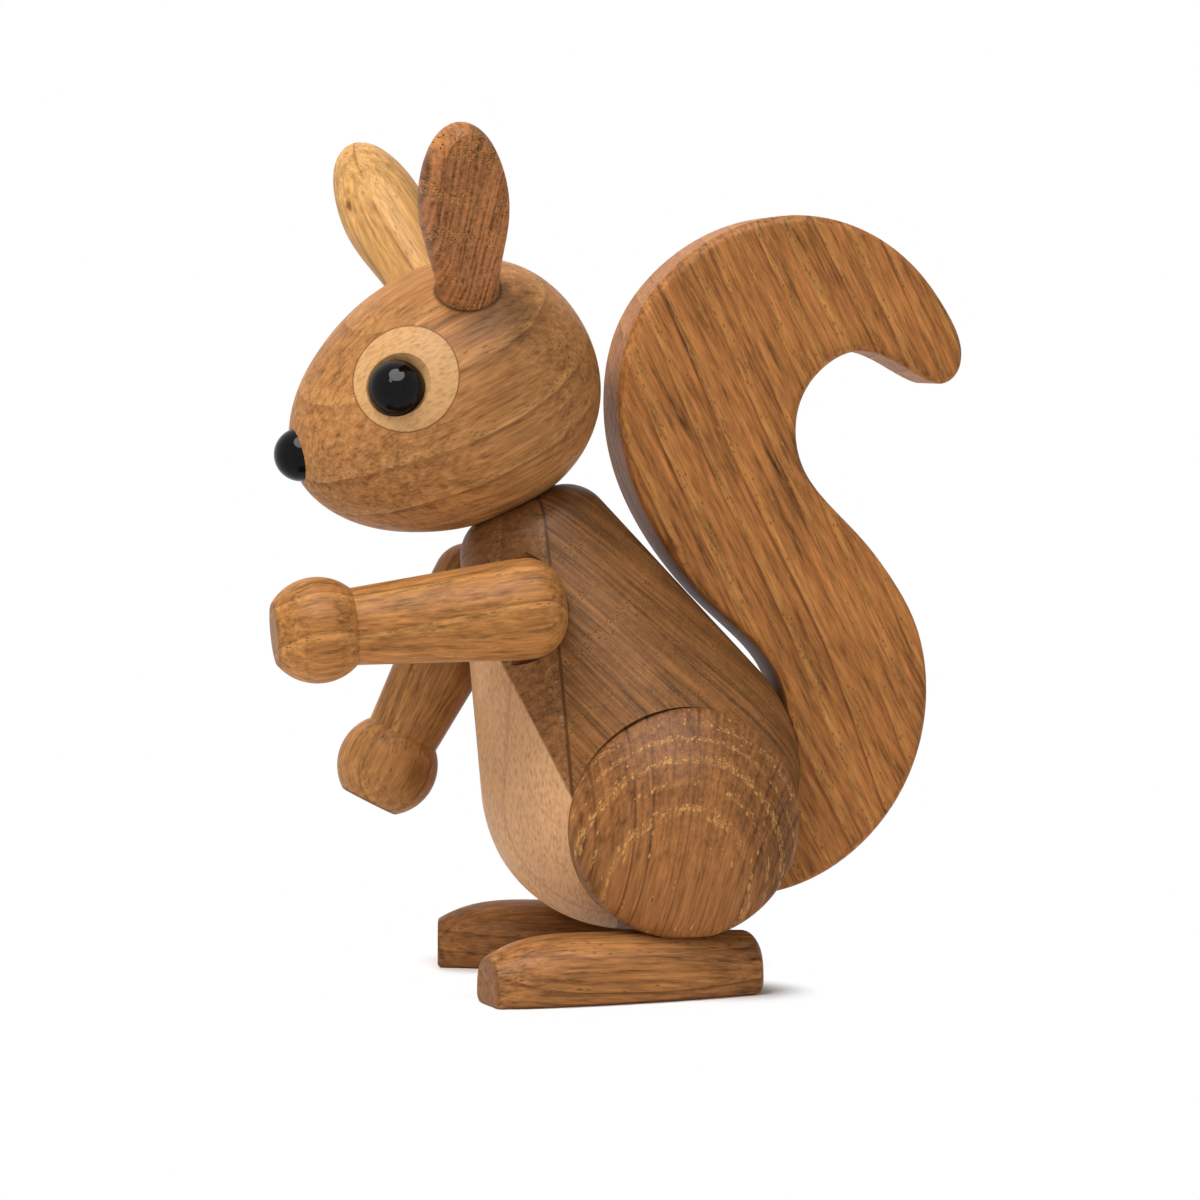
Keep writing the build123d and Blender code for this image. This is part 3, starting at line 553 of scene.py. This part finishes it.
# Each piece is its own board, placed in mm; a mark has its kind, its place, its strength and its colour
finishes = {
    "tail": wood(
        "oak_tail", OAK_BOARD,
        middle=(0, 26, 63), fibres=(0.05, -0.45, 0.89), rings=(0.30, 0.86, 0.42), pith=150,
        relief=0.40,
        values={
            "Ring Width": 4.0, "Ring Wander": 12.0, "Early Share": 0.42, "Band Strength": 0.6,
            "Line Strength": 1, "Line Share": 0.15, "Pore Length": 1.0, "Pore Strength": 0.70,
            "Glint Strength": 0.45, "Ray Strength": 0.10, "Stripe Strength": 0.14,
            "Fibre Strength": 1.1, "Wood": rgb(151, 97, 51), "Early Wood": rgb(172, 120, 64),
            "Dark Line": rgb(112, 62, 28), "Pore": rgb(98, 60, 28),
        },
        marks=[
            (spot_mark, ((6.8, 7.9, 64.2), (0.05, -0.45, 0.89), 1.3), 0.70, rgb(96, 48, 20)),
        ],
    ),
    "back": wood(
        "oak_back", OAK_BOARD,
        middle=(0, 5, 40), fibres=(0.97, 0.15, 0.12), rings=(0.0, 0.70, -0.71), pith=110, relief=0.5,
        values={
            "Ring Width": 6.5, "Ring Wander": 10.0, "Early Share": 0.50, "Band Strength": 0.05,
            "Line Strength": 0.03, "Pore Strength": 0.80, "Glint Strength": 0.35, "Ray Strength": 0.30,
            "Stripe Strength": 0.95, "Fibre Strength": 0.40, "Wood": rgb(124, 82, 45),
            "Early Wood": rgb(154, 106, 58), "Dark Line": rgb(84, 55, 30), "Pore": rgb(66, 42, 22),
        },
        marks=[
            (flat_mark, (*CHEST_JOINT, 0.35), 0.75, SEAM_AND_SHADE),
        ],
    ),
    "chest": wood(
        "oak_chest", OAK_BOARD,
        middle=(0, -10.2, 50), fibres=(0.92, 0.1, 0.38), rings=(0.0, -1.0, -0.06), pith=60,
        relief=0.55,
        values={
            "Ring Width": 5.5, "Ring Wander": 1.0, "Early Share": 0.30, "Band Strength": 0.25,
            "Line Strength": 0.12, "Pore Strength": 0.80, "Glint Strength": 0.55, "Ray Strength": 0.12,
            "Stripe Strength": 0.30, "Fibre Strength": 0.90, "Wood": rgb(128, 86, 50),
            "Early Wood": rgb(170, 122, 74), "Dark Line": rgb(80, 54, 30), "Pore": rgb(58, 38, 20),
        },
        marks=[
            (flat_mark, (*CHEST_JOINT, 0.30), 0.70, SEAM_AND_SHADE),
        ],
    ),
    "head": wood(
        "oak_head", OAK_BOARD,
        middle=(0, -24, 86), fibres=(0.10, -0.88, -0.46), rings=(0.30, -0.40, 0.85), pith=58,
        relief=0.40,
        values={
            "Ring Width": 6.4, "Ring Wander": 8.0, "Early Share": 0.30, "Band Strength": 0.45,
            "Line Strength": 0.8, "Line Share": 0.16, "Pore Strength": 0.65, "Glint Strength": 0.35,
            "Ray Strength": 0.12, "Stripe Strength": 0.16, "Fibre Strength": 0.9,
            "Wood": rgb(160, 110, 64), "Early Wood": rgb(182, 132, 78), "Dark Line": rgb(122, 80, 44),
            "Pore": rgb(92, 60, 32),
        },
        marks=[
            # Painted shade in the narrow gap round the foot of each ear.
            (ring_mark, (*LEFT_EAR, 0.0, EAR_SHADE_RADIUS, EAR_SHADE_SOFT), 0.8, SEAM_AND_SHADE),
            (ring_mark, (*RIGHT_EAR, 0.0, EAR_SHADE_RADIUS, EAR_SHADE_SOFT), 0.8, SEAM_AND_SHADE),
        ],
    ),
    "left_ear": wood(
        "oak_left_ear", OAK_BOARD,
        middle=(18, -25, 110), fibres=(0.90, 0.10, -0.20), rings=(0.25, 0.10, 0.95), pith=90,
        relief=0.5,
        values={
            "Ring Width": 7.0, "Ring Wander": 14.0, "Early Share": 0.55, "Band Strength": 0.04,
            "Line Strength": 0.02, "Pore Strength": 0.95, "Glint Strength": 0.65, "Ray Strength": 0.15,
            "Stripe Strength": 1.00, "Fibre Strength": 0.80, "Wood": rgb(148, 96, 57),
            "Early Wood": rgb(184, 128, 74), "Dark Line": rgb(84, 54, 30), "Pore": rgb(50, 30, 16),
        },
    ),
    "right_ear": wood(
        "oak_right_ear", OAK_BOARD,
        middle=(-20, -30, 116), fibres=(-0.40, -0.42, 0.80), rings=(0.45, 0.80, 0.45), pith=58,
        relief=0.35,
        values={
            "Ring Width": 9.0, "Ring Wander": 4.0, "Early Share": 0.16, "Band Strength": 0.25,
            "Line Strength": 0.90, "Line Share": 0.05, "Pore Strength": 0.45, "Glint Strength": 0.35,
            "Ray Strength": 0.06, "Stripe Strength": 0.08, "Fibre Strength": 0.80,
            "Wood": rgb(190, 143, 86), "Early Wood": rgb(204, 157, 98), "Dark Line": rgb(150, 94, 46),
            "Pore": rgb(128, 80, 40),
        },
        marks=[
            (spot_mark, ((-18.0, -35.9, 114.4), (-0.6, -0.29, 0.75), 0.75), 0.8, rgb(104, 52, 26)),
        ],
    ),
    "left_arm": wood(
        "oak_left_arm", OAK_BOARD,
        middle=(17, -32, 54), fibres=(0.05, -0.99, -0.09), rings=(0.2, 0.1, -0.95), pith=16,
        relief=0.40,
        values={
            "Ring Width": 7.5, "Ring Wander": 2.0, "Early Share": 0.20, "Band Strength": 0.35,
            "Line Strength": 0.70, "Line Share": 0.12, "Pore Strength": 0.70, "Glint Strength": 0.45,
            "Ray Strength": 0.12, "Stripe Strength": 0.16, "Fibre Strength": 1.00,
            "Wood": rgb(158, 106, 57), "Early Wood": rgb(196, 143, 81), "Dark Line": rgb(132, 86, 44),
            "Pore": rgb(104, 68, 36),
        },
        marks=[
            (flat_mark, (*LEFT_HAND, END_REACH), 0.35, END_GRAIN_AND_SHADE),
        ],
    ),
    "right_arm": wood(
        "oak_right_arm", OAK_BOARD,
        middle=(-17, -24, 43), fibres=(0.05, -0.46, -0.89), rings=(0.9, 0.3, -0.2), pith=20,
        relief=0.45,
        values={
            "Ring Width": 4.2, "Ring Wander": 3.0, "Early Share": 0.28, "Band Strength": 0.35,
            "Line Strength": 0.65, "Pore Strength": 0.65, "Glint Strength": 0.30, "Ray Strength": 0.12,
            "Stripe Strength": 0.18, "Fibre Strength": 0.85, "Wood": rgb(148, 102, 58),
            "Early Wood": rgb(168, 120, 70), "Dark Line": rgb(98, 62, 32), "Pore": rgb(74, 48, 26),
        },
        marks=[
            # Stronger than on the near hand: the extra darkness is painted shade on the far hand.
            (flat_mark, (*RIGHT_HAND, END_REACH), 0.55, END_GRAIN_AND_SHADE),
        ],
    ),
    "left_thigh": wood(
        "oak_left_thigh", OAK_BOARD,
        middle=(25, 6, 27), fibres=(0.47, 0.15, 0.87), rings=(-0.85, 0.05, 0.46), pith=31.3,
        relief=0.6,
        values={
            # The tone by ring darkens the top of the dome: partly soaked end grain, partly painted shade.
            "First Year": 10.75, "Soak And Shade Tone": 0.31, "Ring Width": 2.8, "Ring Wander": 1.5,
            "Early Share": 0.40, "Band Strength": 0.22, "Line Strength": 0.08, "Pore Strength": 0.85,
            "Glint Strength": 0.85, "Ray Strength": 1, "Stripe Strength": 0.42, "Fibre Strength": 0.60,
            "Wood": rgb(151, 99, 56), "Early Wood": rgb(196, 143, 82), "Dark Line": rgb(104, 66, 38),
            "Pore": rgb(88, 54, 28),
        },
    ),
    "right_thigh": wood(
        "oak_right_thigh", OAK_BOARD,
        middle=(-25, 6, 27), fibres=(-0.47, 0.15, 0.87), rings=(0.85, 0.05, 0.46), pith=31.3,
        relief=0.6,
        values={
            # The tone by ring darkens the top of the dome: partly soaked end grain, partly painted shade.
            "First Year": 10.75, "Soak And Shade Tone": 0.22, "Ring Width": 2.8, "Ring Wander": 1.5,
            "Early Share": 0.40, "Band Strength": 0.22, "Line Strength": 0.10, "Pore Strength": 0.85,
            "Glint Strength": 0.80, "Ray Strength": 0.9, "Stripe Strength": 0.40,
            "Fibre Strength": 0.60, "Wood": rgb(152, 104, 60), "Early Wood": rgb(198, 148, 88),
            "Dark Line": rgb(106, 68, 38), "Pore": rgb(88, 54, 28),
        },
    ),
    "left_foot": wood(
        "oak_left_foot", OAK_BOARD,
        middle=(18, -2, 5), fibres=(0.17, -0.98, 0.05), rings=(0.4, 0.0, 0.9), pith=26, relief=0.45,
        values={
            "Ring Width": 3.6, "Ring Wander": 7.0, "Early Share": 0.30, "Band Strength": 0.45,
            "Line Strength": 0.85, "Pore Strength": 0.65, "Glint Strength": 0.30, "Ray Strength": 0.10,
            "Stripe Strength": 0.32, "Fibre Strength": 1.15, "Wood": rgb(144, 96, 54),
            "Early Wood": rgb(168, 116, 66), "Dark Line": rgb(104, 64, 34), "Pore": rgb(80, 50, 26),
        },
        marks=[
            (flat_mark, (*LEFT_TOE, END_REACH), 0.40, END_GRAIN_AND_SHADE),
            (flat_mark, (*LEFT_HEEL, END_REACH), 0.30, END_GRAIN_AND_SHADE),
        ],
    ),
    "right_foot": wood(
        "oak_right_foot", OAK_BOARD,
        middle=(-18, -2, 5), fibres=(-0.17, -0.98, 0.05), rings=(-0.3, 0.0, 0.9), pith=22, relief=0.45,
        values={
            # The far foot's colours are the near foot's made about a tenth darker: painted shade.
            "Ring Width": 3.2, "Ring Wander": 7.0, "Early Share": 0.30, "Band Strength": 0.35,
            "Line Strength": 0.65, "Pore Strength": 0.65, "Glint Strength": 0.30, "Ray Strength": 0.10,
            "Stripe Strength": 0.32, "Fibre Strength": 0.90, "Wood": rgb(130, 86, 48),
            "Early Wood": rgb(150, 104, 58), "Dark Line": rgb(96, 60, 32), "Pore": rgb(72, 46, 24),
        },
        marks=[
            (flat_mark, (*RIGHT_TOE, END_REACH), 0.40, END_GRAIN_AND_SHADE),
            (flat_mark, (*RIGHT_HEEL, END_REACH), 0.30, END_GRAIN_AND_SHADE),
        ],
    ),
    "belly": wood(
        "maple_belly", MAPLE_BOARD,
        middle=(0, -15, 30), fibres=(0.10, -0.10, 0.98), rings=(0.85, -0.5, 0.0), pith=60, relief=0.25,
        values={
            "Ring Width": 8.0, "Line Strength": 0.45, "Fleck Strength": 0.62,
            "Wood": rgb(202, 156, 113), "Fleck": rgb(152, 102, 64), "Ring Line": rgb(172, 118, 76),
        },
        marks=[
            (flat_mark, (*BELLY_JOINT, 0.25), 0.45, SEAM_AND_SHADE),
        ],
    ),
}

# The inlaid discs are alike, and so are all the dowels
disc_values = {
    "Ring Width": 5.0, "Fleck Strength": 0.62, "Wood": rgb(194, 150, 100), "Fleck": rgb(150, 106, 64),
    "Ring Line": rgb(178, 130, 84),
}
dowel_values = {
    "Ring Width": 2.5, "Fleck Strength": 0.4, "Wood": rgb(186, 140, 94), "Fleck": rgb(152, 106, 66),
    "Ring Line": rgb(160, 114, 72),
}
finishes["left_eye_disc"] = wood(
    "maple_left_eye_disc", MAPLE_BOARD,
    middle=(14, -32, 88), fibres=(0.2, 0.75, 0.6), rings=(0.3, -0.6, 0.7), pith=40, relief=0.2,
    values=disc_values,
    marks=[
        (ring_mark, (*LEFT_EYE, DISC_RIM_RADIUS, DISC_RIM_BEYOND, DISC_RIM_SOFT), 0.85, DISC_RIM),
    ],
)
finishes["right_eye_disc"] = wood(
    "maple_right_eye_disc", MAPLE_BOARD,
    middle=(-12, -35, 88), fibres=(-0.2, 0.75, 0.6), rings=(-0.3, -0.6, 0.7), pith=40, relief=0.2,
    values=disc_values,
    marks=[
        (ring_mark, (*RIGHT_EYE, DISC_RIM_RADIUS, DISC_RIM_BEYOND, DISC_RIM_SOFT), 0.85, DISC_RIM),
    ],
)
dowel_finish = wood(
    "beech_dowel", MAPLE_BOARD,
    middle=(0, 0, 40), fibres=(1.0, 0.1, 0.1), rings=(0.0, 1.0, 0.2), pith=30, relief=0.25,
    values=dowel_values,
)
bead_finish = black_bead()
for name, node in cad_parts.items():
    if name.endswith("dowel"):
        finish = dowel_finish
    elif name in ("left_eye", "right_eye", "nose"):
        finish = bead_finish
    else:
        finish = finishes[name]
    for slot in node.material_slots:
        slot.material = finish


def from_foot(sheet, spot, side):
    """Distance in millimetres from the edge of a foot, seen from above."""
    turn = (0.0, 0.0, side * FOOT_SPLAY)
    x, y = sheet.split(seen_from(sheet, spot, (side * FOOT_SIDE, FOOT_MIDDLE, 0.0), turn))[:2]
    beyond = sheet.math("SUBTRACT", sheet.math("ABSOLUTE", y), FOOT_STRAIGHT)
    away = sheet.length(x, sheet.math("MAXIMUM", beyond, 0.0))
    return sheet.math("SUBTRACT", away, FOOT_HALF_WIDTH)


def floor_finish():
    """White floor that keeps the soft shade close to the feet."""
    material, sheet, shader = new_finish("studio_floor")
    shader.inputs["Base Color"].default_value = (0.93, 0.93, 0.93, 1.0)
    shader.inputs["Roughness"].default_value = 0.9
    shader.inputs["Specular IOR Level"].default_value = 0.0
    white = sheet.node("ShaderNodeEmission")
    white.inputs["Strength"].default_value = 1.0
    spot = sheet.node("ShaderNodeTexCoord").outputs["Object"]
    away = sheet.math("MINIMUM", from_foot(sheet, spot, 1), from_foot(sheet, spot, -1))
    share = sheet.math("MULTIPLY", sheet.seen_rays(), sheet.ramp(away, 0.0, FLOOR_SHADE_REACH))
    blend = sheet.node("ShaderNodeMixShader")
    sheet.feed(blend.inputs[0], share)
    sheet.feed(blend.inputs[1], shader.outputs[0])
    sheet.feed(blend.inputs[2], white.outputs[0])
    sheet.feed(material.node_tree.nodes["Material Output"].inputs["Surface"], blend.outputs[0])
    return material


bpy.ops.mesh.primitive_plane_add(size=FLOOR_SIZE)
floor = bpy.context.object
floor.name = "studio_floor"
floor.data.materials.append(floor_finish())


def soft_lamp(name, place, size, power, lights=True, mirrored=False):
    """A round soft lamp that points at the body; a mirrored one shows in the glossy beads."""
    data = bpy.data.lights.new(name, "AREA")
    data.shape = "DISK"
    data.size = size
    data.energy = power
    lamp = bpy.data.objects.new(name, data)
    lamp.location = place
    lamp.visible_diffuse = lights
    lamp.visible_glossy = mirrored
    lamp.rotation_euler = (BODY_MIDDLE - Vector(place)).to_track_quat("-Z", "Y").to_euler()
    bpy.context.scene.collection.objects.link(lamp)


soft_lamp("key_lamp", (0.26, -0.40, 0.82), size=0.55, power=9.4)
soft_lamp("front_lamp", (0.75, -0.10, 0.25), size=0.60, power=1.2)
soft_lamp("rear_lamp", (0.50, 0.70, 0.40), size=0.60, power=0.8)
soft_lamp("far_lamp", (-0.60, -0.05, 0.55), size=0.60, power=4.2)
soft_lamp("bead_lamp", (0.46, -0.08, 0.78), size=0.85, power=20.0, lights=False, mirrored=True)

# White surroundings that look full white but give little light
world = bpy.data.worlds.new("studio")
bpy.context.scene.world = world
world.use_nodes = True
sky = Sheet(world.node_tree)
around = world.node_tree.nodes["Background"]
around.inputs["Color"].default_value = (1.0, 1.0, 1.0, 1.0)
sky.feed(around.inputs["Strength"], sky.math("MULTIPLY_ADD", sky.seen_rays(), 1 - WORLD_FILL, WORLD_FILL))

camera_data = bpy.data.cameras.new("photo_camera")
camera_data.sensor_width = CAMERA_SENSOR
camera_data.lens = CAMERA_LENS
camera = bpy.data.objects.new("photo_camera", camera_data)
camera.location = CAMERA_PLACE
camera.rotation_euler = (radians(90) + CAMERA_PITCH, 0.0, CAMERA_AZIMUTH)
bpy.context.scene.collection.objects.link(camera)
bpy.context.scene.camera = camera
bpy.context.scene.view_settings.view_transform = "Standard"
